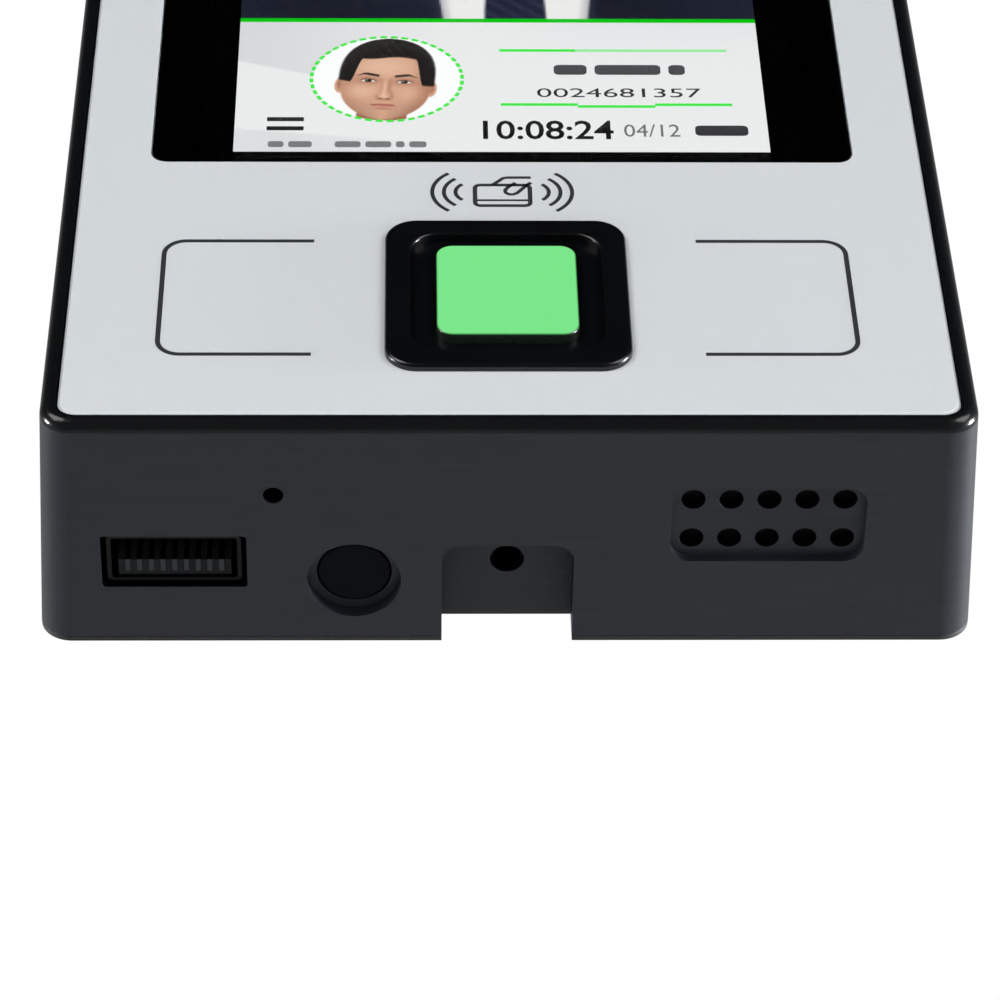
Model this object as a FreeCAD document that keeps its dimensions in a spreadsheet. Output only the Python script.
"""Wall terminal with a face camera pair, a touch screen, a fingerprint reader and a card reader.

Frame: +Z is up, the front faces -Y and the wall face is the plane Y = 0. The origin is the middle
of the wall face. Millimetres.
"""
import FreeCAD, Part
import math
import os
import re
import Sketcher

SIZES = [
    # the whole terminal
    ("height", 190.0), ("depth", 27.6), ("front_width", 90.4), ("rear_width", 93.0),
    ("corner_radius", 3.2), ("edge_radius", 1.15), ("wall", 2.0), ("cavity_width", 85.0),
    ("cavity_radius", 2.0), ("fit_gap", 0.15), ("part_gap", 0.3), ("slide_gap", 0.05),
    # front panel and the ledge that it lies on
    ("rim", 1.5), ("panel_width", 87.0), ("panel_thickness", 1.6), ("panel_radius", 1.9),
    ("panel_chamfer", 0.25), ("ledge", 2.0), ("ledge_thickness", 1.5),
    # cover glass and screen
    ("glass_width", 72.8), ("glass_thickness", 1.1), ("glass_radius", 1.6), ("glass_bottom", 43.84),
    ("glass_top", 8.6), ("tape_thickness", 0.2), ("tape_inset", 0.5), ("tape_band", 3.0),
    ("optical_gap", 0.1), ("display_width", 62.4), ("display_height", 105.4),
    ("display_bottom", 44.7), ("cell_thickness", 1.2), ("backlight_radius", 0.8),
    ("display_plate_thickness", 0.6), ("display_plate_lap", 1.6), ("display_plate_radius", 1.0),
    ("flex_width", 14.0), ("flex_thickness", 0.3), ("flex_loop", 2.4), ("flex_side", 1.0),
    ("flex_inset", 1.0), ("flex_drop", 9.0), ("flex_socket_side", 1.5), ("flex_socket_length", 5.0),
    ("flex_socket_height", 1.2),
    # chassis
    ("chassis_thickness", 1.4), ("standoff_radius", 2.5), ("standoff_inset", 8.5),
    ("standoff_low", 36.5), ("standoff_high", 28.0),
    # fingerprint reader
    ("reader_height", 20.3), ("bezel_width", 24.3), ("bezel_radius", 3.2), ("bezel_proud", 0.8),
    ("bezel_edge", 0.4), ("bezel_neck", 22.4), ("neck_radius", 2.2), ("recess_width", 19.2),
    ("recess_radius", 3.0), ("recess_depth", 0.95), ("recess_edge", 0.25), ("platen_width", 14.1),
    ("platen_height", 14.85), ("platen_radius", 1.7), ("platen_edge", 0.3), ("platen_proud", 1.0),
    ("platen_thickness", 2.6), ("prism_depth", 5.0), ("prism_inset", 0.5), ("optics_wall", 1.6),
    ("optics_radius", 1.0), ("optics_inner_radius", 0.6), ("sensor_gap", 1.4),
    ("sensor_board_lap", 2.6), ("sensor_board_thickness", 1.0), ("sensor_width", 6.0),
    ("sensor_thickness", 1.0), ("sensor_lamp_out", 5.4), ("sensor_lamp_width", 1.6),
    ("sensor_lamp_length", 3.2), ("sensor_lamp_thickness", 0.7),
    # card reader antenna
    ("antenna_width", 76.0), ("antenna_bottom", 5.2), ("antenna_top", 42.6),
    ("antenna_thickness", 0.8), ("antenna_gap", 0.1), ("antenna_clearance", 2.0),
    ("antenna_radius", 1.5), ("antenna_inner_radius", 2.0),
    # cameras
    ("camera_drop", 25.0), ("camera_pitch", 18.0), ("camera_board_width", 48.0),
    ("camera_board_height", 17.0), ("camera_board_thickness", 1.0), ("camera_board_depth", 8.0),
    ("camera_board_radius", 1.0), ("holder_width", 10.0), ("holder_depth", 4.4),
    ("holder_radius", 0.8), ("barrel_radius", 3.6), ("barrel_gap", 0.1), ("barrel_stop", 1.2),
    ("lens_radius", 2.7), ("lens_thickness", 1.0), ("lens_inset", 0.3), ("lens_lip", 0.6),
    ("image_sensor_width", 4.0), ("image_sensor_thickness", 0.8), ("lamp_width", 3.4),
    ("lamp_depth", 1.9), ("lamp_gap", 2.6), ("lamp_pitch", 4.4), ("diffuser_width", 30.0),
    ("diffuser_height", 3.6), ("diffuser_thickness", 1.6), ("diffuser_inset", 0.2),
    ("white_lamp_pitch", 7.0), ("white_lamp_width", 2.8), ("white_lamp_height", 2.0),
    # main board and what is on it
    ("board_depth", 13.2), ("board_thickness", 1.6), ("board_width", 71.0), ("board_bottom", 30.0),
    ("board_top", 22.0), ("board_radius", 1.5), ("board_screw_length", 4.0), ("shield_width", 34.0),
    ("shield_height", 2.2), ("shield_wall", 0.3), ("shield_up", 34.0), ("chip_width", 15.0),
    ("chip_thickness", 1.2), ("processor_out", 7.0), ("memory_out", 8.0), ("memory_width", 9.0),
    ("memory_height", 11.0), ("memory_pitch", 14.0), ("relay_width", 19.0), ("relay_height", 15.4),
    ("relay_depth", 9.8), ("relay_out", 20.0), ("relay_drop", 32.0), ("cell_radius", 6.25),
    ("coin_thickness", 2.0), ("coin_shelf", 0.8), ("coin_wall", 1.5), ("coin_out", 20.0),
    ("coin_drop", 32.0),
    # sockets in the rear bay
    ("bay_width", 60.0), ("bay_height", 25.0), ("bay_drop", 20.0), ("bay_radius", 2.0),
    ("bay_margin", 3.0), ("connector_inset", 0.6), ("jack_width", 16.2), ("jack_height", 15.4),
    ("jack_mouth_width", 11.9), ("jack_mouth_height", 7.0), ("jack_mouth_depth", 9.5),
    ("jack_pin_pitch", 1.02), ("jack_pin_width", 0.45), ("jack_pin_height", 0.8),
    ("jack_pin_inset", 4.0), ("terminal_width", 25.4), ("terminal_height", 12.0),
    ("terminal_radius", 0.4), ("terminal_pitch", 3.81), ("terminal_hole", 2.4),
    ("terminal_floor", 2.0), ("clamp_height", 3.0), ("power_gap", 6.0), ("power_width", 8.0),
    ("power_height", 10.0), ("power_mouth_width", 6.0), ("power_mouth_height", 3.6),
    ("power_floor", 3.0), ("power_pin_out", 1.25), ("power_pin_width", 0.64),
    ("power_pin_inset", 1.5),
    # rear cover, its seal and its screws
    ("flange_thickness", 0.6), ("flange_chamfer", 0.12), ("cover_thickness", 2.2),
    ("seat_lap", 1.2), ("seat_rise", 0.96), ("gasket_thickness", 0.6), ("boss_inset", 2.6),
    ("boss_radius", 3.2), ("boss_depth", 11.0), ("boss_low", 25.0), ("boss_high", 9.0),
    ("screw_radius", 1.2), ("screw_hole", 1.25), ("screw_length", 7.0), ("head_radius", 2.3),
    ("head_height", 1.2), ("head_sink", 0.2), ("drive_length", 2.4), ("drive_width", 0.6),
    ("drive_depth", 0.7), ("hook_pitch_x", 60.0), ("hook_pitch_z", 110.0), ("hook_length", 12.0),
    ("hook_width", 3.2),
    # security notch with its threaded insert
    ("notch_width", 13.0), ("notch_height", 4.0), ("notch_depth", 12.3), ("notch_radius", 2.0),
    ("notch_floor", 4.5), ("notch_wall", 2.2), ("notch_lip", 0.8), ("notch_screw", 7.3),
    ("notch_hole", 1.7), ("insert_radius", 2.2), ("insert_bore", 1.4), ("insert_length", 3.6),
    # things in the underside, placed from the middle and from the wall face
    ("usb_place", -32.8), ("usb_level", 10.28), ("usb_width", 13.2), ("usb_height", 5.8),
    ("usb_gap", 0.35), ("usb_side_gap", 0.55), ("usb_wall", 0.4), ("usb_length", 14.0),
    ("usb_set_back", 0.6), ("usb_radius", 0.6), ("usb_inner_radius", 0.3),
    ("tongue_thickness", 1.9), ("tongue_width", 11.1), ("tongue_set_back", 0.5),
    ("contact_width", 0.5), ("contact_pitch", 1.15), ("contact_thickness", 0.15),
    ("contact_tip", 1.3), ("contact_stop", 1.0), ("io_board_left", -41.5),
    ("io_board_right", -10.0), ("io_board_low", 3.6), ("io_board_high", 21.0),
    ("io_board_radius", 1.0), ("floor_reach", 0.5),
    ("reset_place", -22.9), ("reset_level", 18.7), ("reset_hole", 1.0), ("reset_pin", 0.85),
    ("reset_pin_length", 2.4), ("reset_set_in", 0.6), ("reset_body", 6.0),
    ("reset_body_height", 3.5), ("reset_body_gap", 0.6), ("reset_travel", 0.25),
    ("button_place", -15.15), ("button_level", 7.85), ("button_recess", 4.65),
    ("button_recess_depth", 1.45), ("button_bore", 3.72), ("button_radius", 3.6),
    ("button_edge", 0.3), ("button_proud", 0.2), ("button_boss", 4.9),
    ("button_boss_height", 2.6), ("button_flange", 4.4), ("button_flange_thickness", 1.0),
    ("button_travel", 0.8), ("button_pin", 1.6), ("button_pin_length", 1.6),
    ("button_body", 6.4), ("button_body_end", 1.2), ("button_spare", 0.2),
    ("switch_spare", 0.1),
    # loudspeaker
    ("speaker_place", 25.4), ("speaker_level", 14.95), ("grille_width", 19.0),
    ("grille_depth", 9.25), ("grille_radius", 2.0), ("grille_sink", 1.0), ("grille_hole", 1.05),
    ("grille_chamfer", 0.15), ("grille_pitch", 3.71), ("grille_row_pitch", 4.85),
    ("speaker_width", 23.0), ("speaker_depth", 12.4), ("speaker_height", 5.0),
    ("speaker_wall", 1.2), ("speaker_radius", 2.0), ("speaker_inner_radius", 1.0),
    ("speaker_seal", 0.8), ("cone_thickness", 0.6), ("cone_gap", 0.4), ("magnet_radius", 4.2),
    ("magnet_height", 2.2), ("coil_inset", 1.2),
    # tamper switch
    ("tamper_place", 0.0), ("tamper_level", 25.0), ("tamper_pin", 1.5), ("tamper_well", 4.5),
    ("tamper_well_depth", 1.6), ("tamper_below", 0.2), ("tamper_travel", 1.2),
    ("tamper_body", 6.0), ("tamper_body_height", 3.6), ("tamper_engage", 1.2),
]
NAMES = {name for name, _ in SIZES}
ZERO = "0 * height"
TINY = 1e-4

OUTWARDS = FreeCAD.Vector(0, 0, 1)

doc = FreeCAD.newDocument("terminal")
sheet = doc.addObject("Spreadsheet::Sheet", "Sizes")
for row, (name, number) in enumerate(SIZES, start=1):
    sheet.set(f"A{row}", name)
    sheet.set(f"B{row}", str(number))
    sheet.setAlias(f"B{row}", name)
doc.recompute()

finished = {}


# ---------------------------------------------------------------- expressions

def bound(text):
    """An expression in plain size names, as the document reads it."""
    return re.sub(r"[a-z_]+", lambda m: "Sizes." + m[0] if m[0] in NAMES else m[0], str(text))


def number(text):
    """The value that an expression has now."""
    return float(sheet.evalExpression(bound(text)))


def minus(a, b):
    return f"({a}) - ({b})"


def plus(a, b):
    return f"({a}) + ({b})"


def about(middle, width):
    """The span of a width laid half each side of a middle."""
    return f"({middle}) - ({width}) / 2", f"({middle}) + ({width}) / 2"


def grown(span, by):
    return minus(span[0], by), plus(span[1], by)


def after(span, length):
    """The span of a length that starts where another ends."""
    return span[1], plus(span[1], length)


# ---------------------------------------------------------------- outlines for sketches

class Outline:
    """Sketch geometry with the constraints that bind it to the sheet."""

    def __init__(self):
        self.geometry = []
        self.rules = []
        self.sizes = []


def vector(u, v):
    return FreeCAD.Vector(u, v, 0)


def circle(u, v, radius):
    outline = Outline()
    outline.geometry = [Part.Circle(vector(number(u), number(v)), OUTWARDS, number(radius))]
    outline.sizes = [
        (("DistanceX", -1, 1, 0, 3), u),
        (("DistanceY", -1, 1, 0, 3), v),
        (("Radius", 0), radius),
    ]
    return outline


def rectangle(across, up, radius=None):
    """A rectangle over two spans, with round corners if a radius is given."""
    left, right = (number(value) for value in across)
    low, high = (number(value) for value in up)
    bend = number(radius) if radius else 0.0
    outline = Outline()
    corners = [(left, low), (right, low), (right, high), (left, high)]
    along = [(1, 0), (0, 1), (-1, 0), (0, -1)]
    for index, (direction, start) in enumerate(zip(along, corners)):
        end = corners[(index + 1) % 4]
        first = vector(start[0] + direction[0] * bend, start[1] + direction[1] * bend)
        last = vector(end[0] - direction[0] * bend, end[1] - direction[1] * bend)
        outline.geometry.append(Part.LineSegment(first, last))
    if radius:
        middles = [(right - bend, low + bend), (right - bend, high - bend),
                   (left + bend, high - bend), (left + bend, low + bend)]
        for index, middle in enumerate(middles):
            start = math.radians(270 + 90 * index)
            arc = Part.Circle(vector(*middle), OUTWARDS, bend)
            outline.geometry.append(Part.ArcOfCircle(arc, start, start + math.pi / 2))
            outline.rules.append(("Tangent", index, 2, 4 + index, 1))
            outline.rules.append(("Tangent", 4 + index, 2, (index + 1) % 4, 1))
        outline.rules += [("Equal", 4, 5), ("Equal", 4, 6), ("Equal", 4, 7)]
        outline.sizes.append((("Radius", 4), radius))
    else:
        outline.rules += [("Coincident", index, 2, (index + 1) % 4, 1) for index in range(4)]
    outline.rules += [("Horizontal", 0), ("Horizontal", 2), ("Vertical", 1), ("Vertical", 3)]
    outline.sizes += [
        (("DistanceX", -1, 1, 3, 1), across[0]),
        (("DistanceX", -1, 1, 1, 1), across[1]),
        (("DistanceY", -1, 1, 0, 1), up[0]),
        (("DistanceY", -1, 1, 2, 1), up[1]),
    ]
    return outline


def slot(u, v, length, width):
    """A slot along the first axis with round ends."""
    radius = f"({width}) / 2"
    reach = f"(({length}) - ({width})) / 2"
    middle, level, half, bend = number(u), number(v), number(reach), number(radius)
    quarter = math.pi / 2
    outline = Outline()
    outline.geometry = [
        Part.LineSegment(vector(middle - half, level - bend), vector(middle + half, level - bend)),
        Part.ArcOfCircle(Part.Circle(vector(middle + half, level), OUTWARDS, bend), -quarter, quarter),
        Part.LineSegment(vector(middle + half, level + bend), vector(middle - half, level + bend)),
        Part.ArcOfCircle(Part.Circle(vector(middle - half, level), OUTWARDS, bend), quarter, 3 * quarter),
    ]
    outline.rules = [("Tangent", index, 2, (index + 1) % 4, 1) for index in range(4)]
    outline.rules += [("Horizontal", 0), ("Equal", 1, 3)]
    outline.sizes = [
        (("Radius", 1), radius),
        (("DistanceX", -1, 1, 3, 3), minus(u, reach)),
        (("DistanceX", -1, 1, 1, 3), plus(u, reach)),
        (("DistanceY", -1, 1, 3, 3), v),
    ]
    return outline


# ---------------------------------------------------------------- pieces as PartDesign bodies

# plane: its role in the body's origin, and the sign of its normal along its own axis
PLANES = {"XZ": ("XZ_Plane", -1), "XY": ("XY_Plane", 1), "YZ": ("YZ_Plane", 1)}


class Piece:
    """A PartDesign body. Each step works between two levels along the normal of a plane."""

    def __init__(self, label):
        self.body = doc.addObject("PartDesign::Body", label)
        self.body.Label = label
        self.steps = 0
        finished[label] = self.body

    def sketch(self, plane, level, outlines):
        role, sign = PLANES[plane]
        self.steps += 1
        made = self.body.newObject("Sketcher::SketchObject", f"{self.body.Label}_sketch_{self.steps}")
        origin_plane = [item for item in self.body.Origin.OriginFeatures if item.Role == role][0]
        made.AttachmentSupport = [(origin_plane, "")]
        made.MapMode = "FlatFace"
        made.setExpression("AttachmentOffset.Base.z", bound(f"{sign} * ({level})"))
        for outline in outlines:
            first = made.GeometryCount
            made.addGeometry(outline.geometry, False)
            for rule in outline.rules:
                made.addConstraint(Sketcher.Constraint(rule[0], *shifted(rule, first)))
            for rule, size in outline.sizes:
                place = Sketcher.Constraint(rule[0], *shifted(rule, first), number(size))
                index = made.addConstraint(place)
                named = f"size_{index}"
                made.renameConstraint(index, named)
                made.setExpression(f"Constraints.{named}", bound(size))
        return made

    def step(self, kind, plane, levels, outlines):
        sign = PLANES[plane][1]
        start = levels[1] if sign < 0 else levels[0]
        made = self.sketch(plane, start, outlines)
        feature = self.body.newObject(f"PartDesign::{kind}", f"{self.body.Label}_{kind}_{self.steps}")
        feature.Profile = made
        feature.setExpression("Length", bound(minus(levels[1], levels[0])))
        feature.Reversed = kind == "Pocket"
        made.Visibility = False
        return feature

    def pad(self, plane, levels, *outlines):
        return self.step("Pad", plane, levels, outlines)

    def pocket(self, plane, levels, *outlines):
        return self.step("Pocket", plane, levels, outlines)

    def round_edges(self, kind, size_property, size, wanted):
        """Fillet or chamfer the edges that a test picks from the last feature."""
        doc.recompute()
        tip = self.body.Tip
        edges = [f"Edge{index}" for index, edge in enumerate(tip.Shape.Edges, start=1) if wanted(edge)]
        feature = self.body.newObject(f"PartDesign::{kind}", f"{self.body.Label}_{kind}")
        feature.Base = (tip, edges)
        feature.setExpression(size_property, bound(size))
        return feature


def shifted(rule, first):
    """A rule's numbers with geometry indices moved on; positions and the origin stay."""
    kind, values = rule[0], list(rule[1:])
    geometry_at = {"Tangent": (0, 2), "Coincident": (0, 2), "Equal": (0, 1), "Horizontal": (0,),
                   "Vertical": (0,), "Radius": (0,), "DistanceX": (0, 2), "DistanceY": (0, 2)}[kind]
    return [value + first if place in geometry_at and value >= 0 else value
            for place, value in enumerate(values)]


# ---------------------------------------------------------------- pieces as primitives and booleans

def box(label, across, deep, up):
    made = doc.addObject("Part::Box", label)
    for prop, place, span in (("Length", "x", across), ("Width", "y", deep), ("Height", "z", up)):
        made.setExpression(prop, bound(minus(span[1], span[0])))
        made.setExpression(f"Placement.Base.{place}", bound(span[0]))
    return made


TURNS = {
    "z": FreeCAD.Rotation(),
    "y": FreeCAD.Rotation(FreeCAD.Vector(1, 0, 0), -90),
}


def rod(label, axis, centre, span, radius):
    """A cylinder along y or z. The centre gives the two other coordinates in x, y, z order."""
    made = doc.addObject("Part::Cylinder", label)
    made.Placement = FreeCAD.Placement(FreeCAD.Vector(), TURNS[axis])
    other = "z" if axis == "y" else "y"
    made.setExpression("Radius", bound(radius))
    made.setExpression("Height", bound(minus(span[1], span[0])))
    made.setExpression("Placement.Base.x", bound(centre[0]))
    made.setExpression(f"Placement.Base.{other}", bound(centre[1]))
    made.setExpression(f"Placement.Base.{axis}", bound(span[0]))
    return made


def joined(label, shapes):
    made = doc.addObject("Part::MultiFuse", label)
    made.Shapes = shapes
    return made


def together(label, shapes):
    """Separate solids that share one node, such as a set of screws."""
    made = doc.addObject("Part::Compound", label)
    made.Links = shapes
    return made


def cut(label, base, tool):
    made = doc.addObject("Part::Cut", label)
    made.Base = base
    made.Tool = tool
    return made


def keep(made):
    finished[made.Label] = made
    return made


# ---------------------------------------------------------------- levels that many pieces share

BOTTOM = "-height / 2"
TOP = "height / 2"
BEYOND = "5"        # a level behind everything
PAST = "1"          # how far a cut reaches past the face that it opens

PANEL = ("-depth", "-depth + panel_thickness")
LEDGE = after(PANEL, "ledge_thickness")
CHASSIS = after(LEDGE, "chassis_thickness")
GLASS = ("-depth", "-depth + glass_thickness")
TAPE = after(GLASS, "tape_thickness")
DISPLAY_CELL = (plus(GLASS[1], "optical_gap"), plus(GLASS[1], "optical_gap + cell_thickness"))
BACKLIGHT = (DISPLAY_CELL[1], CHASSIS[1])
DISPLAY_PLATE = after(CHASSIS, "display_plate_thickness")
BOARD = ("-board_depth - board_thickness", "-board_depth")
COVER = ("-cover_thickness", "-flange_thickness")
GASKET = ("-cover_thickness - gasket_thickness", "-cover_thickness")

CAVITY_ACROSS = about(ZERO, "cavity_width")
CAVITY_UP = (plus(BOTTOM, "wall"), minus(TOP, "wall"))
LEDGE_ACROSS = grown(CAVITY_ACROSS, "-ledge")
LEDGE_UP = grown(CAVITY_UP, "-ledge")
SEAT_ACROSS = grown(CAVITY_ACROSS, "seat_lap")
SEAT_UP = grown(CAVITY_UP, "seat_rise")
PANEL_ACROSS = about(ZERO, "panel_width")
PANEL_UP = (plus(BOTTOM, "rim"), minus(TOP, "rim"))
GLASS_ACROSS = about(ZERO, "glass_width")
GLASS_UP = (plus(BOTTOM, "glass_bottom"), minus(TOP, "glass_top"))
DISPLAY_ACROSS = about(ZERO, "display_width")
DISPLAY_UP = (plus(BOTTOM, "display_bottom"), plus(BOTTOM, "display_bottom + display_height"))
READER = plus(BOTTOM, "reader_height")
CAMERA = minus(TOP, "camera_drop")
BOARD_ACROSS = about(ZERO, "board_width")
BOARD_UP = (plus(BOTTOM, "board_bottom"), minus(TOP, "board_top"))
FLOOR = plus(BOTTOM, "wall")
NOTCH_TOP = plus(BOTTOM, "notch_height")
NOTCH_ACROSS = about(ZERO, "notch_width")
GRILLE_FACE = plus(BOTTOM, "grille_sink")

BOSS_X = "cavity_width / 2 - boss_inset"
BOSS_LEVELS = [plus(BOTTOM, "boss_low"), "(boss_low - boss_high) / 2", minus(TOP, "boss_high")]
BOSSES = [(f"{side} * ({BOSS_X})", level) for side in (-1, 1) for level in BOSS_LEVELS]

HOLDERS = [f"{side} * camera_pitch / 2" for side in (-1, 1)]
CAMERA_BOARD_Y = ("-depth + camera_board_depth", "-depth + camera_board_depth + camera_board_thickness")
STANDOFFS = [(f"{side} * (board_width / 2 - standoff_inset / 2)", level) for side in (-1, 1)
             for level in (plus(BOTTOM, "standoff_low"), minus(TOP, "standoff_high"))]


def runs_back(edge):
    """True for an edge that runs from the front towards the wall face."""
    return edge.BoundBox.YLength > number("depth") / 2


def at_front(edge):
    return abs(edge.BoundBox.YMax + number("depth")) < TINY


# ---------------------------------------------------------------- housing and front

def housing():
    piece = Piece("housing")
    shell = piece.body.newObject("PartDesign::AdditiveWedge", "housing_shell")
    for prop, value in (
        ("Xmin", "-front_width / 2"), ("Xmax", "front_width / 2"), ("Zmin", BOTTOM), ("Zmax", TOP),
        ("X2min", "-rear_width / 2"), ("X2max", "rear_width / 2"), ("Z2min", BOTTOM), ("Z2max", TOP),
        ("Ymin", "-depth"), ("Ymax", "-flange_thickness"),
    ):
        shell.setExpression(prop, bound(value))
    piece.round_edges("Fillet", "Radius", "corner_radius", runs_back)
    piece.round_edges("Fillet", "Radius", "edge_radius", at_front)
    inside = (LEDGE[1], BEYOND)
    piece.pocket("XZ", PANEL, rectangle(grown(PANEL_ACROSS, "fit_gap"), grown(PANEL_UP, "fit_gap"),
                                        "panel_radius + fit_gap"))
    piece.pocket("XZ", (PANEL[0], plus(LEDGE[1], PAST)), rectangle(LEDGE_ACROSS, LEDGE_UP, "cavity_radius"))
    piece.pocket("XZ", inside, rectangle(CAVITY_ACROSS, CAVITY_UP, "cavity_radius"))
    piece.pocket("XZ", (GASKET[0], BEYOND), rectangle(SEAT_ACROSS, SEAT_UP, "cavity_radius + seat_lap"))
    boss_span = (minus(GASKET[0], "boss_depth"), GASKET[0])
    piece.pad("XZ", boss_span, *[circle(x, z, "boss_radius") for x, z in BOSSES])
    hole_span = (minus(GASKET[0], "screw_length + head_height"), BEYOND)
    piece.pocket("XZ", hole_span, *[circle(x, z, "screw_hole") for x, z in BOSSES])
    notch_block(piece)
    button_boss(piece)
    underside(piece)
    return piece


def notch_block(piece):
    """The block round the security notch, with the seat of the threaded insert in its roof.

    A thin lip carries the notch through the cover's seat to the rear flange.
    """
    insert_top = plus(NOTCH_TOP, "notch_floor")
    piece.pad("XY", (minus(FLOOR, "wall / 2"), insert_top),
              rectangle(grown(NOTCH_ACROSS, "notch_wall"), ("-notch_depth - notch_wall", GASKET[0])))
    lip_up = (plus(BOTTOM, "wall / 4"), plus(NOTCH_TOP, "notch_lip"))
    piece.pad("XZ", (GASKET[0], "-flange_thickness"), rectangle(grown(NOTCH_ACROSS, "notch_lip"), lip_up))
    piece.pocket("XY", (minus(BOTTOM, PAST), NOTCH_TOP),
                 rectangle(NOTCH_ACROSS, ("-notch_depth", "notch_depth"), "notch_radius"))
    piece.pocket("XY", (minus(insert_top, "insert_length"), plus(insert_top, PAST)),
                 circle(ZERO, "-notch_screw", "insert_radius"))
    piece.pocket("XY", (minus(NOTCH_TOP, PAST), plus(insert_top, PAST)),
                 circle(ZERO, "-notch_screw", "notch_hole"))


def button_boss(piece):
    boss_top = plus(FLOOR, "button_boss_height")
    piece.pad("XY", (minus(FLOOR, "wall / 2"), boss_top),
              circle("button_place", "-button_level", "button_boss"))
    piece.pocket("XY", (minus(BOTTOM, PAST), plus(BOTTOM, "button_recess_depth")),
                 circle("button_place", "-button_level", "button_recess"))
    piece.pocket("XY", (BOTTOM, plus(boss_top, PAST)),
                 circle("button_place", "-button_level", "button_bore"))


def grille_holes():
    columns = [f"speaker_place + {step} * grille_pitch" for step in range(-2, 3)]
    rows = [f"-speaker_level + {side} * grille_row_pitch / 2" for side in (-1, 1)]
    return [circle(x, y, "grille_hole") for x in columns for y in rows]


def underside(piece):
    """Openings through the bottom wall: USB, reset pin hole and the loudspeaker's grille."""
    through = (minus(BOTTOM, PAST), plus(FLOOR, "floor_reach"))
    piece.pocket("XY", through, rectangle(
        grown(about("usb_place", "usb_width"), "usb_side_gap"),
        grown(about("-usb_level", "usb_height"), "usb_gap"), "usb_gap"))
    piece.pocket("XY", through, circle("reset_place", "-reset_level", "reset_hole"))
    piece.pocket("XY", (minus(BOTTOM, PAST), GRILLE_FACE), rectangle(
        about("speaker_place", "grille_width"), about("-speaker_level", "grille_depth"),
        "grille_radius"))
    piece.pocket("XY", through, *grille_holes())
    piece.round_edges("Chamfer", "Size", "grille_chamfer", at_grille_hole)


def at_grille_hole(edge):
    """True for the rim of a loudspeaker hole on the face of the sunk grille."""
    bounds = edge.BoundBox
    flat = abs(bounds.ZMin - number(GRILLE_FACE)) < TINY and abs(bounds.ZMax - number(GRILLE_FACE)) < TINY
    return flat and abs(bounds.XLength - 2 * number("grille_hole")) < TINY


def front_panel():
    piece = Piece("front_panel")
    piece.pad("XZ", PANEL, rectangle(PANEL_ACROSS, PANEL_UP, "panel_radius"))
    piece.round_edges("Chamfer", "Size", "panel_chamfer", at_front)
    through = (minus(PANEL[0], PAST), plus(PANEL[1], PAST))
    piece.pocket("XZ", through,
                 rectangle(grown(GLASS_ACROSS, "fit_gap"), grown(GLASS_UP, "fit_gap"),
                           "glass_radius + fit_gap"))
    neck = "bezel_neck + 2 * fit_gap"
    piece.pocket("XZ", through, rectangle(about(ZERO, neck), about(READER, neck), "neck_radius + fit_gap"))


def cover_glass():
    piece = Piece("cover_glass")
    piece.pad("XZ", GLASS, rectangle(GLASS_ACROSS, GLASS_UP, "glass_radius"))


def ring(label, plane, levels, outer, inner):
    piece = Piece(label)
    piece.pad(plane, levels, outer, inner)
    return piece


def glass_tape():
    outer = rectangle(grown(GLASS_ACROSS, "-tape_inset"), grown(GLASS_UP, "-tape_inset"), "glass_radius")
    inner_across = grown(DISPLAY_ACROSS, "2 * fit_gap")
    inner_up = (minus(DISPLAY_UP[0], "fit_gap"), minus(GLASS_UP[1], "tape_band"))
    ring("glass_tape", "XZ", TAPE, outer, rectangle(inner_across, inner_up))


CAMERA_WINDOW = rectangle(grown(about(ZERO, "camera_board_width"), "part_gap"),
                          (minus(CAMERA, "camera_board_height / 2 + part_gap"),
                           plus(CAMERA, "camera_board_height / 2 + part_gap")))


def chassis():
    """The inner frame: a plate behind the ledge with a platform that carries the glass."""
    piece = Piece("chassis")
    piece.pad("XZ", CHASSIS, rectangle(grown(CAVITY_ACROSS, "-part_gap"), grown(CAVITY_UP, "-part_gap"),
                                       "cavity_radius"))
    piece.pad("XZ", (TAPE[1], CHASSIS[1]),
              rectangle(grown(GLASS_ACROSS, "-part_gap"), grown(GLASS_UP, "-part_gap"), "glass_radius"))
    through = (minus(TAPE[1], PAST), plus(CHASSIS[1], PAST))
    piece.pocket("XZ", through, rectangle(grown(DISPLAY_ACROSS, "fit_gap"), grown(DISPLAY_UP, "fit_gap")))
    piece.pocket("XZ", through, CAMERA_WINDOW)
    optics = "bezel_neck + 2 * fit_gap"
    piece.pocket("XZ", through, rectangle(about(ZERO, optics), about(READER, optics)))
    piece.pocket("XZ", through, *[circle(x, z, "boss_radius + part_gap") for x, z in BOSSES])
    piece.pocket("XZ", through, *[circle(x, z, "screw_radius + fit_gap") for x, z in STANDOFFS])


# ---------------------------------------------------------------- screen

def display():
    cell = Piece("display_cell")
    cell.pad("XZ", DISPLAY_CELL, rectangle(DISPLAY_ACROSS, DISPLAY_UP))
    light = Piece("display_backlight")
    light.pad("XZ", BACKLIGHT, rectangle(DISPLAY_ACROSS, DISPLAY_UP, "backlight_radius"))
    plate = Piece("display_plate")
    lap_up = (minus(DISPLAY_UP[0], "display_plate_lap"), plus(DISPLAY_UP[1], "display_plate_lap"))
    plate.pad("XZ", DISPLAY_PLATE,
              rectangle(grown(DISPLAY_ACROSS, "display_plate_lap / 2"), lap_up, "display_plate_radius"))
    across = about(ZERO, "flex_width + 2 * flex_side")
    plate.pocket("XZ", (minus(DISPLAY_PLATE[0], PAST), plus(DISPLAY_PLATE[1], PAST)),
                 rectangle(across, (minus(DISPLAY_UP[1], "flex_loop"), plus(lap_up[1], PAST))))


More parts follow.
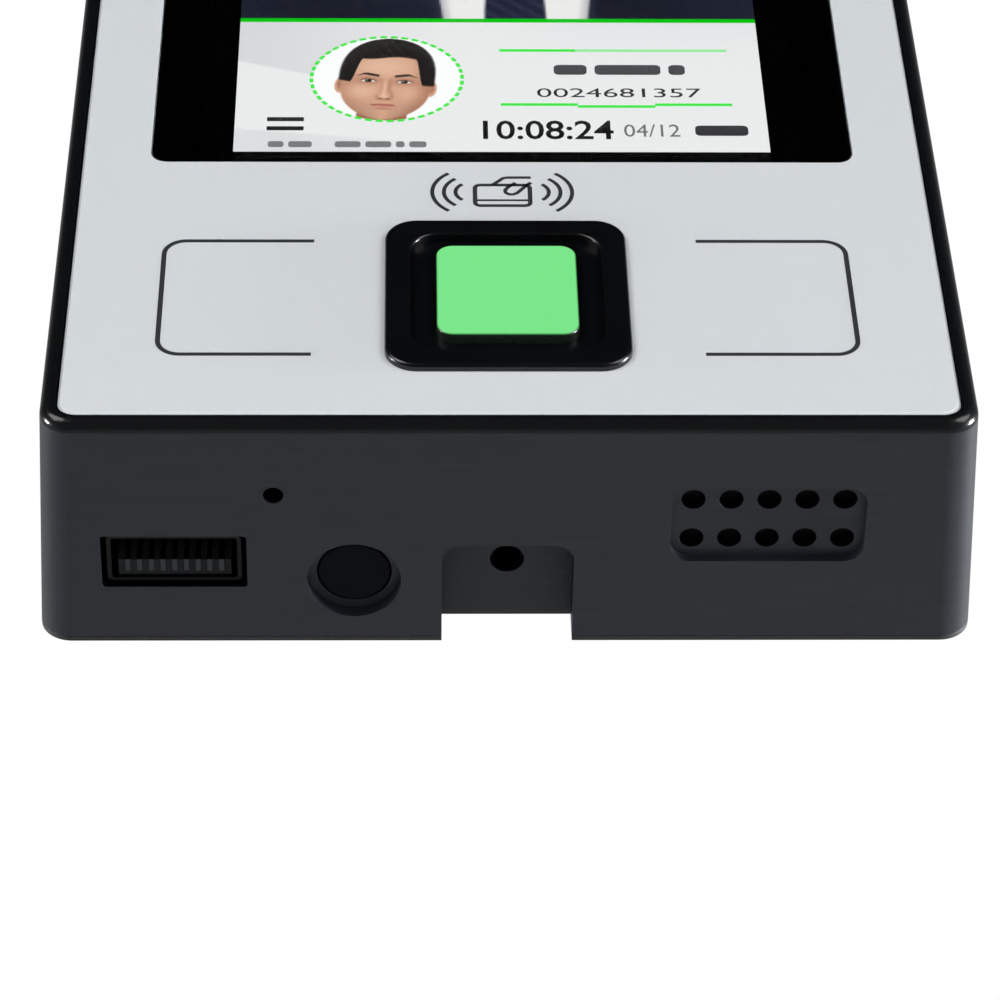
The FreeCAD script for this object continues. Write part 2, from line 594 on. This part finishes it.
def display_flex():
    """The screen's ribbon: out of the backlight's top, back, and down on to the main board."""
    across = about(ZERO, "flex_width")
    tail_top = minus(DISPLAY_UP[1], "flex_inset")
    tail_foot = minus(tail_top, "flex_drop")
    socket_y = (minus(BOARD[0], "flex_socket_height"), BOARD[0])
    drop_y = (minus(socket_y[0], "flex_thickness"), socket_y[0])
    back_up = (minus(tail_top, "flex_thickness"), tail_top)
    back = box("flex_back", across, (BACKLIGHT[1], socket_y[0]), back_up)
    drop = box("flex_drop_run", across, drop_y, (tail_foot, tail_top))
    keep(joined("display_flex", [back, drop]))
    keep(box("flex_socket", about(ZERO, "flex_width + 2 * flex_socket_side"), socket_y,
             (tail_foot, plus(tail_foot, "flex_socket_length"))))


# ---------------------------------------------------------------- fingerprint and card readers

BEZEL_FACE = minus(PANEL[0], "bezel_proud")
PLATEN_FACE = minus(PANEL[0], "platen_proud")
PLATEN = (PLATEN_FACE, plus(PLATEN_FACE, "platen_thickness"))
PRISM = after(PLATEN, "prism_depth")
SENSOR_FACE = plus(PRISM[1], "sensor_gap")


def window(by):
    """The finger window's outline spans, grown by a size."""
    return grown(about(ZERO, "platen_width"), by), grown(about(READER, "platen_height"), by)


def fingerprint_reader():
    bezel = Piece("fingerprint_bezel")
    bezel.pad("XZ", (BEZEL_FACE, PANEL[0]), rectangle(about(ZERO, "bezel_width"),
                                                      about(READER, "bezel_width"), "bezel_radius"))
    bezel.round_edges("Fillet", "Radius", "bezel_edge", at_bezel_face)
    bezel.pad("XZ", (PANEL[0], CHASSIS[1]), rectangle(about(ZERO, "bezel_neck"),
                                                      about(READER, "bezel_neck"), "neck_radius"))
    bezel.pocket("XZ", (minus(BEZEL_FACE, PAST), plus(BEZEL_FACE, "recess_depth")),
                 rectangle(about(ZERO, "recess_width"), about(READER, "recess_width"), "recess_radius"))
    bezel.round_edges("Fillet", "Radius", "recess_edge", at_recess_rim)
    bezel.pocket("XZ", (minus(BEZEL_FACE, PAST), plus(CHASSIS[1], PAST)),
                 rectangle(*window("slide_gap"), "platen_radius + slide_gap"))
    platen = Piece("fingerprint_platen")
    platen.pad("XZ", PLATEN, rectangle(*window(ZERO), "platen_radius"))
    platen.round_edges("Fillet", "Radius", "platen_edge", at_platen_face)
    prism = Piece("fingerprint_prism")
    prism.pad("XZ", PRISM, rectangle(*window("-prism_inset"), "optics_radius"))
    shroud = Piece("optics_shroud")
    shroud.pad("XZ", (CHASSIS[1], SENSOR_FACE), rectangle(*window("optics_wall"), "optics_radius"),
               rectangle(*window("slide_gap"), "optics_inner_radius"))
    board = Piece("sensor_board")
    board.pad("XZ", (SENSOR_FACE, plus(SENSOR_FACE, "sensor_board_thickness")),
              rectangle(*window("sensor_board_lap"), "optics_radius"))
    chip_y = (minus(SENSOR_FACE, "sensor_thickness"), SENSOR_FACE)
    keep(box("sensor_chip", about(ZERO, "sensor_width"), chip_y, about(READER, "sensor_width")))
    lamp_y = (minus(SENSOR_FACE, "sensor_lamp_thickness"), SENSOR_FACE)
    lamps = [box(f"sensor_lamp_{side}", about(f"{side} * sensor_lamp_out", "sensor_lamp_width"), lamp_y,
                 about(READER, "sensor_lamp_length")) for side in (-1, 1)]
    keep(together("sensor_lamps", lamps))


def at_bezel_face(edge):
    return abs(edge.BoundBox.YMax - number(BEZEL_FACE)) < TINY


def at_recess_rim(edge):
    """True for the edges round the recess on the bezel's face."""
    bounds = edge.BoundBox
    reach = number("recess_width") / 2 + TINY
    return at_bezel_face(edge) and max(abs(bounds.XMin), abs(bounds.XMax)) < reach


def at_platen_face(edge):
    return abs(edge.BoundBox.YMax - number(PLATEN_FACE)) < TINY


def antenna_board():
    piece = Piece("antenna_board")
    front = plus(PANEL[1], "antenna_gap")
    opening = "bezel_neck + 2 * antenna_clearance"
    up = (plus(BOTTOM, "antenna_bottom"), plus(BOTTOM, "antenna_top"))
    piece.pad("XZ", (front, plus(front, "antenna_thickness")),
              rectangle(about(ZERO, "antenna_width"), up, "antenna_radius"),
              rectangle(about(ZERO, opening), about(READER, opening), "antenna_inner_radius"))


# ---------------------------------------------------------------- cameras and lamps

def cameras():
    board = Piece("camera_board")
    board.pad("XZ", CAMERA_BOARD_Y, rectangle(about(ZERO, "camera_board_width"),
                                              about(CAMERA, "camera_board_height"), "camera_board_radius"))
    holder_span = (minus(CAMERA_BOARD_Y[0], "holder_depth"), CAMERA_BOARD_Y[0])
    barrel_span = (plus(TAPE[1], "barrel_gap"), minus(CAMERA_BOARD_Y[0], "barrel_stop"))
    holders = Piece("camera_holders")
    holders.pad("XZ", holder_span, *[rectangle(about(x, "holder_width"), about(CAMERA, "holder_width"),
                                               "holder_radius") for x in HOLDERS])
    holders.pocket("XZ", (minus(holder_span[0], PAST), plus(holder_span[1], PAST)),
                   *[circle(x, CAMERA, "barrel_radius + slide_gap") for x in HOLDERS])
    barrels = Piece("camera_barrels")
    barrels.pad("XZ", barrel_span, *[circle(x, CAMERA, "barrel_radius") for x in HOLDERS],
                *[circle(x, CAMERA, "lens_radius - lens_lip") for x in HOLDERS])
    lens_front = plus(barrel_span[0], "lens_inset")
    lens_span = (lens_front, plus(lens_front, "lens_thickness"))
    barrels.pocket("XZ", (minus(barrel_span[0], PAST), lens_span[1]),
                   *[circle(x, CAMERA, "lens_radius + slide_gap") for x in HOLDERS])
    lenses = Piece("camera_lenses")
    lenses.pad("XZ", lens_span, *[circle(x, CAMERA, "lens_radius") for x in HOLDERS])
    sensor_y = (minus(CAMERA_BOARD_Y[0], "image_sensor_thickness"), CAMERA_BOARD_Y[0])
    keep(together("image_sensors", [box(f"image_sensor_{index}", about(x, "image_sensor_width"), sensor_y,
                                        about(CAMERA, "image_sensor_width"))
                                    for index, x in enumerate(HOLDERS)]))
    camera_lamps()


def camera_lamps():
    """Infrared lamps beside the cameras, and white lamps behind a diffuser above them."""
    lamp_y = (minus(CAMERA_BOARD_Y[0], "lamp_depth"), CAMERA_BOARD_Y[0])
    lamp_x = [f"{side} * (camera_pitch / 2 + holder_width / 2 + lamp_gap + {step} * lamp_pitch)"
              for side in (-1, 1) for step in (0, 1)]
    keep(together("infrared_lamps", [box(f"infrared_lamp_{index}", about(x, "lamp_width"), lamp_y,
                                         about(CAMERA, "lamp_width")) for index, x in enumerate(lamp_x)]))
    diffuser = Piece("lamp_diffuser")
    diffuser_z = plus(CAMERA, "camera_board_height / 2 - diffuser_height / 2 - diffuser_inset")
    diffuser_front = plus(TAPE[1], "barrel_gap")
    diffuser.pad("XZ", (diffuser_front, plus(diffuser_front, "diffuser_thickness")),
                 slot(ZERO, diffuser_z, "diffuser_width", "diffuser_height"))
    white_x = [f"{step} * white_lamp_pitch" for step in (-1.5, -0.5, 0.5, 1.5)]
    keep(together("white_lamps", [box(f"white_lamp_{index}", about(x, "white_lamp_width"), lamp_y,
                                      about(diffuser_z, "white_lamp_height"))
                                  for index, x in enumerate(white_x)]))


# ---------------------------------------------------------------- boards

def main_board():
    piece = Piece("main_board")
    piece.pad("XZ", BOARD, rectangle(BOARD_ACROSS, BOARD_UP, "board_radius"))
    piece.pocket("XZ", (minus(BOARD[0], PAST), plus(BOARD[1], PAST)),
                 *[circle(x, z, "screw_radius + fit_gap") for x, z in STANDOFFS])
    posts = Piece("standoffs")
    post_span = (CHASSIS[1], BOARD[0])
    posts.pad("XZ", post_span, *[circle(x, z, "standoff_radius") for x, z in STANDOFFS])
    posts.pocket("XZ", (minus(CHASSIS[1], PAST), plus(BOARD[0], PAST)),
                 *[circle(x, z, "screw_hole") for x, z in STANDOFFS])
    screws("board_screws", STANDOFFS, BOARD[1], "board_screw_length")


def screws(label, places, seat, length):
    """Pan-head screws that point to the front, heads on a seat plane, with a cross recess."""
    made = []
    recess_y = (plus(seat, "head_height - drive_depth"), plus(plus(seat, "head_height"), PAST))
    for index, (x, z) in enumerate(places):
        head = rod(f"{label}_head_{index}", "y", (x, z), (seat, plus(seat, "head_height")), "head_radius")
        shank = rod(f"{label}_shank_{index}", "y", (x, z), (minus(seat, length), seat), "screw_radius")
        bars = [box(f"{label}_level_{index}", about(x, "drive_length"), recess_y, about(z, "drive_width")),
                box(f"{label}_upright_{index}", about(x, "drive_width"), recess_y, about(z, "drive_length"))]
        made.append(cut(f"{label}_{index}", joined(f"{label}_blank_{index}", [head, shank]),
                        joined(f"{label}_recess_{index}", bars)))
    keep(together(label, made))


def board_parts():
    can_z = plus(BOARD_UP[0], "shield_up")
    outer = box("shield_block", about(ZERO, "shield_width"), (minus(BOARD[0], "shield_height"), BOARD[0]),
                about(can_z, "shield_width"))
    inner = box("shield_inside", about(ZERO, "shield_width - 2 * shield_wall"),
                (minus(BOARD[0], "shield_height - shield_wall"), plus(BOARD[0], PAST)),
                about(can_z, "shield_width - 2 * shield_wall"))
    keep(cut("processor_shield", outer, inner))
    chip_y = (minus(BOARD[0], "chip_thickness"), BOARD[0])
    keep(box("processor", about("-processor_out", "chip_width"), chip_y, about(can_z, "chip_width")))
    keep(together("memory_chips", [box(f"memory_chip_{index}", about("memory_out", "memory_width"), chip_y,
                                       about(plus(can_z, f"{side} * memory_pitch / 2"), "memory_height"))
                                   for index, side in enumerate((-1, 1))]))
    relay_y = after(BOARD, "relay_depth")
    keep(box("lock_relay", about("relay_out", "relay_width"), relay_y,
             about(minus(BOARD_UP[1], "relay_drop"), "relay_height")))
    coin = ("-coin_out", minus(BOARD_UP[1], "coin_drop"))
    holder = Piece("coin_cell_holder")
    shelf = plus(BOARD[1], "coin_shelf")
    cell_y = (shelf, plus(shelf, "coin_thickness"))
    holder.pad("XZ", (BOARD[1], cell_y[1]), circle(*coin, "cell_radius + coin_wall"))
    holder.pocket("XZ", (shelf, plus(cell_y[1], PAST)), circle(*coin, "cell_radius + fit_gap"))
    battery = Piece("coin_cell")
    battery.pad("XZ", cell_y, circle(*coin, "cell_radius"))


BAY_UP = ("-bay_drop - bay_height", "-bay_drop")
BAY_MIDDLE = "-bay_drop - bay_height / 2"
CONNECTOR_Y = (BOARD[1], minus(COVER[1], "connector_inset"))
JACK_X = "bay_width / 2 - jack_width / 2 - bay_margin"
BLOCK_X = "-bay_width / 2 + terminal_width / 2 + bay_margin"
POWER_X = plus(BLOCK_X, "terminal_width / 2 + power_gap")


def connectors():
    """The network jack, the terminal block and the power socket in the rear bay."""
    jack_floor = minus(CONNECTOR_Y[1], "jack_mouth_depth")
    body = box("jack_block", about(JACK_X, "jack_width"), CONNECTOR_Y, about(BAY_MIDDLE, "jack_height"))
    mouth = box("jack_mouth", about(JACK_X, "jack_mouth_width"), (jack_floor, plus(CONNECTOR_Y[1], PAST)),
                about(BAY_MIDDLE, "jack_mouth_height"))
    keep(cut("network_jack", body, mouth))
    pin_foot = minus(BAY_MIDDLE, "jack_mouth_height / 2")
    pin_y = (jack_floor, minus(CONNECTOR_Y[1], "jack_pin_inset"))
    pin_up = (pin_foot, plus(pin_foot, "jack_pin_height"))
    pins = [box(f"network_pin_{index}", about(f"{JACK_X} + ({index} - 3.5) * jack_pin_pitch",
                                              "jack_pin_width"), pin_y, pin_up) for index in range(8)]
    socket = box("power_block", about(POWER_X, "power_width"), CONNECTOR_Y,
                 about(BAY_MIDDLE, "power_height"))
    power_floor = plus(CONNECTOR_Y[0], "power_floor")
    well = box("power_well", about(POWER_X, "power_mouth_width"), (power_floor, plus(CONNECTOR_Y[1], PAST)),
               about(BAY_MIDDLE, "power_mouth_height"))
    keep(cut("power_socket", socket, well))
    pin_y = (power_floor, minus(CONNECTOR_Y[1], "power_pin_inset"))
    pins += [box(f"power_pin_{index}", about(f"{POWER_X} + {side} * power_pin_out", "power_pin_width"),
                 pin_y, about(BAY_MIDDLE, "power_pin_width")) for index, side in enumerate((-1, 1))]
    keep(together("connector_pins", pins))


def terminals():
    """A block of screwless terminals: two rows of six wire holes, each with a clamp at its foot."""
    block = Piece("terminal_block")
    outline = about(BLOCK_X, "terminal_width"), about(BAY_MIDDLE, "terminal_height")
    block.pad("XZ", CONNECTOR_Y, rectangle(*outline, "terminal_radius"))
    places = [(f"{BLOCK_X} + {step} * terminal_pitch", f"{BAY_MIDDLE} + {side} * terminal_height / 4")
              for step in (-2.5, -1.5, -0.5, 0.5, 1.5, 2.5) for side in (-1, 1)]
    hole_floor = plus(CONNECTOR_Y[0], "terminal_floor")
    block.pocket("XZ", (hole_floor, plus(CONNECTOR_Y[1], PAST)),
                 *[rectangle(about(x, "terminal_hole"), about(z, "terminal_hole")) for x, z in places])
    clamp = "terminal_hole - 2 * slide_gap"
    clamp_y = (hole_floor, plus(hole_floor, "clamp_height"))
    clamps = [box(f"terminal_clamp_{index}", about(x, clamp), clamp_y, about(z, clamp))
              for index, (x, z) in enumerate(places)]
    keep(together("terminal_clamps", clamps))


def io_board():
    up = (plus(BOTTOM, "io_board_low"), plus(BOTTOM, "io_board_high"))
    piece = Piece("io_board")
    piece.pad("XZ", BOARD, rectangle(("io_board_left", "io_board_right"), up, "io_board_radius"))


def usb_socket():
    """The shell, and a tongue with nine contacts whose ends wrap over the end that faces out."""
    low = plus(BOTTOM, "usb_set_back")
    up = (low, plus(low, "usb_length"))
    shell_end = minus(up[1], "usb_wall")
    across = about("usb_place", "usb_width")
    deep = about("-usb_level", "usb_height")
    shell = Piece("usb_shell")
    shell.pad("XY", up, rectangle(across, deep, "usb_radius"))
    shell.pocket("XY", (minus(low, PAST), shell_end),
                 rectangle(grown(across, "-usb_wall"), grown(deep, "-usb_wall"), "usb_inner_radius"))
    tongue_back = minus(deep[1], "usb_wall")
    tongue_deep = (minus(tongue_back, "tongue_thickness"), tongue_back)
    tongue_end = plus(low, "tongue_set_back")
    keep(box("usb_tongue", about("usb_place", "tongue_width"), tongue_deep, (tongue_end, shell_end)))
    contact_front = minus(tongue_deep[0], "contact_thickness")
    contacts = []
    for index, step in enumerate(range(-4, 5)):
        contact_across = about(f"usb_place + {step} * contact_pitch", "contact_width")
        strip = box(f"usb_strip_{index}", contact_across, (contact_front, tongue_deep[0]),
                    (minus(tongue_end, "contact_thickness"), minus(shell_end, "contact_stop")))
        tip = box(f"usb_tip_{index}", contact_across, (contact_front, plus(tongue_deep[0], "contact_tip")),
                  (minus(tongue_end, "contact_thickness"), tongue_end))
        contacts.append(joined(f"usb_contact_{index}", [strip, tip]))
    keep(together("usb_contacts", contacts))


# ---------------------------------------------------------------- buttons and switches

CAP_FACE = plus(BOTTOM, "button_recess_depth - button_proud")
CAP_SEAT = plus(FLOOR, "button_boss_height + slide_gap")
CAP_BACK = plus(CAP_SEAT, "button_flange_thickness")


def push_button():
    cap = Piece("button_cap")
    place = ("button_place", "-button_level")
    cap.pad("XY", (CAP_FACE, CAP_SEAT), circle(*place, "button_radius"))
    cap.round_edges("Fillet", "Radius", "button_edge", at_cap_face)
    cap.pad("XY", (CAP_SEAT, CAP_BACK), circle(*place, "button_flange"))
    keep(rod("button_plunger", "z", place, (CAP_BACK, plus(CAP_BACK, "button_pin_length + button_travel")),
             "button_pin"))
    stroke_end = plus(CAP_BACK, "button_pin_length + 2 * button_travel")
    body_low = plus(CAP_BACK, "button_travel + part_gap")
    body_deep = (BOARD[1], plus("-button_level", "button_body / 2"))
    body = box("button_switch_block", about("button_place", "button_body"), body_deep,
               (body_low, plus(stroke_end, "button_body_end")))
    bore = rod("button_switch_bore", "z", place, (minus(body_low, PAST), plus(stroke_end, "button_spare")),
               "button_pin + slide_gap")
    keep(cut("button_switch", body, bore))


def at_cap_face(edge):
    return abs(edge.BoundBox.ZMax - number(CAP_FACE)) < TINY


def reset_button():
    place = ("reset_place", "-reset_level")
    low = plus(FLOOR, "reset_set_in")
    high = plus(low, "reset_pin_length")
    block_low = plus(low, "reset_travel + reset_body_gap")
    keep(rod("reset_plunger", "z", place, (low, high), "reset_pin"))
    body_deep = ("-reset_level - reset_body / 3", BOARD[0])
    body = box("reset_switch_block", about("reset_place", "reset_body"), body_deep,
               (block_low, plus(block_low, "reset_body_height")))
    bore = rod("reset_switch_bore", "z", place,
               (minus(block_low, PAST), plus(high, "reset_travel + switch_spare")), "reset_pin + slide_gap")
    keep(cut("reset_switch", body, bore))


def tamper_switch():
    place = ("tamper_place", "tamper_level")
    tip = "-tamper_below"
    body_y = (BOARD[1], plus(BOARD[1], "tamper_body_height"))
    start = minus(body_y[1], "tamper_engage")
    keep(rod("tamper_plunger", "y", place, (start, tip), "tamper_pin"))
    bore_y = (minus(start, "tamper_travel + switch_spare"), plus(body_y[1], PAST))
    body = box("tamper_switch_block", about(place[0], "tamper_body"), body_y, about(place[1], "tamper_body"))
    bore = rod("tamper_switch_bore", "y", place, bore_y, "tamper_pin + slide_gap")
    keep(cut("tamper_switch", body, bore))


# ---------------------------------------------------------------- loudspeaker

def loudspeaker():
    across = about("speaker_place", "speaker_width")
    deep = about("-speaker_level", "speaker_depth")
    outer = rectangle(across, deep, "speaker_radius")
    inner = rectangle(grown(across, "-speaker_wall"), grown(deep, "-speaker_wall"), "speaker_inner_radius")
    seal_up = (FLOOR, plus(FLOOR, "speaker_seal"))
    ring("speaker_seal", "XY", seal_up, outer, inner)
    frame_up = after(seal_up, "speaker_height")
    frame_inside = minus(frame_up[1], "speaker_wall")
    frame = Piece("speaker_frame")
    frame.pad("XY", frame_up, outer)
    frame.pocket("XY", (seal_up[0], frame_inside), inner)
    cone_low = plus(frame_up[0], "cone_gap")
    cone_high = plus(cone_low, "cone_thickness")
    cone = Piece("speaker_cone")
    cone.pad("XY", (cone_low, cone_high), inner)
    magnet_low = minus(frame_inside, "magnet_height")
    place = ("speaker_place", "-speaker_level")
    keep(rod("speaker_magnet", "z", place, (magnet_low, frame_inside), "magnet_radius"))
    keep(rod("voice_coil", "z", place, (cone_high, magnet_low), "magnet_radius - coil_inset"))


# ---------------------------------------------------------------- rear

HEAD_SEAT = "-head_height - head_sink"


def rear_cover():
    piece = Piece("rear_cover")
    piece.pad("XZ", ("-flange_thickness", ZERO), rectangle(about(ZERO, "rear_width"), (BOTTOM, TOP),
                                                           "corner_radius"))
    piece.round_edges("Chamfer", "Size", "flange_chamfer", at_flange_front)
    piece.pad("XZ", COVER, rectangle(grown(SEAT_ACROSS, "-fit_gap"), grown(SEAT_UP, "-fit_gap"),
                                     "cavity_radius + seat_lap - fit_gap"))
    through = (minus(COVER[0], PAST), BEYOND)
    piece.pocket("XZ", through, rectangle(NOTCH_ACROSS, (minus(BOTTOM, PAST), NOTCH_TOP)))
    lip_across = grown(NOTCH_ACROSS, "notch_lip + fit_gap")
    lip_up = (BOTTOM, plus(NOTCH_TOP, "notch_lip + fit_gap"))
    piece.pocket("XZ", (through[0], COVER[1]), rectangle(lip_across, lip_up))
    piece.pocket("XZ", through, rectangle(about(ZERO, "bay_width"), BAY_UP, "bay_radius"))
    hooks = [(f"{side} * hook_pitch_x / 2", f"{level} * hook_pitch_z / 2")
             for side in (-1, 1) for level in (-1, 1)]
    piece.pocket("XZ", through, *[slot(x, z, "hook_length", "hook_width") for x, z in hooks])
    piece.pocket("XZ", through, *[circle(x, z, "screw_radius + fit_gap") for x, z in BOSSES])
    piece.pocket("XZ", (HEAD_SEAT, BEYOND), *[circle(x, z, "head_radius + part_gap") for x, z in BOSSES])
    piece.pocket("XZ", ("-tamper_well_depth", BEYOND), circle("tamper_place", "tamper_level", "tamper_well"))
    piece.pocket("XZ", through, circle("tamper_place", "tamper_level", "tamper_pin + part_gap"))
    screws("cover_screws", BOSSES, HEAD_SEAT, "screw_length")


def at_flange_front(edge):
    return abs(edge.BoundBox.YMax + number("flange_thickness")) < TINY


def cover_gasket():
    """A seal in the cover's seat, led round the notch's lip by a small arch."""
    loop = Piece("gasket_band")
    finished.pop("gasket_band")
    loop.pad("XZ", GASKET, rectangle(grown(SEAT_ACROSS, "-slide_gap"), grown(SEAT_UP, "-slide_gap"),
                                     "cavity_radius + seat_lap"),
             rectangle(CAVITY_ACROSS, CAVITY_UP, "cavity_radius"))
    inner_across = grown(NOTCH_ACROSS, "notch_lip + slide_gap")
    inner_top = plus(NOTCH_TOP, "notch_lip + slide_gap")
    arch_across = grown(inner_across, "seat_lap")
    cutting_y = (minus(GASKET[0], PAST), BEYOND)
    gap = box("gasket_gap", arch_across, cutting_y, (minus(BOTTOM, PAST), plus(FLOOR, PAST)))
    open_loop = cut("gasket_open", loop.body, gap)
    arch_up = (plus(SEAT_UP[0], "slide_gap"), plus(inner_top, "seat_lap"))
    outer_arch = box("gasket_arch", arch_across, GASKET, arch_up)
    inner_arch = box("gasket_arch_inside", inner_across, cutting_y, (minus(BOTTOM, PAST), inner_top))
    arch = cut("gasket_bridge", outer_arch, inner_arch)
    keep(joined("cover_gasket", [open_loop, arch]))


def security_insert():
    top = plus(NOTCH_TOP, "notch_floor")
    foot = minus(top, "insert_length")
    place = (ZERO, "-notch_screw")
    outer = rod("insert_blank", "z", place, (foot, top), "insert_radius")
    bore = rod("insert_bore_tool", "z", place, (minus(foot, PAST), plus(top, PAST)), "insert_bore")
    keep(cut("security_insert", outer, bore))


# ---------------------------------------------------------------- build, check, write

for build in (housing, front_panel, cover_glass, glass_tape, chassis, display, display_flex,
              fingerprint_reader, antenna_board, cameras, main_board, board_parts, connectors, terminals,
              io_board, usb_socket, push_button, reset_button, tamper_switch, loudspeaker,
              rear_cover, cover_gasket, security_insert):
    build()
doc.recompute()

faults = [f"{item.Name}: {', '.join(item.State)}" for item in doc.Objects
          if {"Invalid", "Error"} & set(item.State)]
for item in doc.Objects:
    if item.TypeId in ("PartDesign::Pocket", "PartDesign::Pad"):
        before = item.BaseFeature.Shape.Volume if item.BaseFeature else 0.0
        grew = item.Shape.Volume - before
        if abs(grew) < 1e-6 or (grew > 0) != (item.TypeId == "PartDesign::Pad"):
            faults.append(f"{item.Name}: changed the volume by {grew:.4f}")
for label, item in finished.items():
    shape = item.Shape
    if shape.isNull() or not shape.isValid() or not shape.Solids:
        faults.append(f"{label}: no valid solid")
if faults:
    raise SystemExit("part not written:\n" + "\n".join(faults))

os.makedirs("parts", exist_ok=True)
for label, item in finished.items():
    item.Shape.exportStep(f"parts/{label}.step")
print(f"{len(finished)} nodes written")
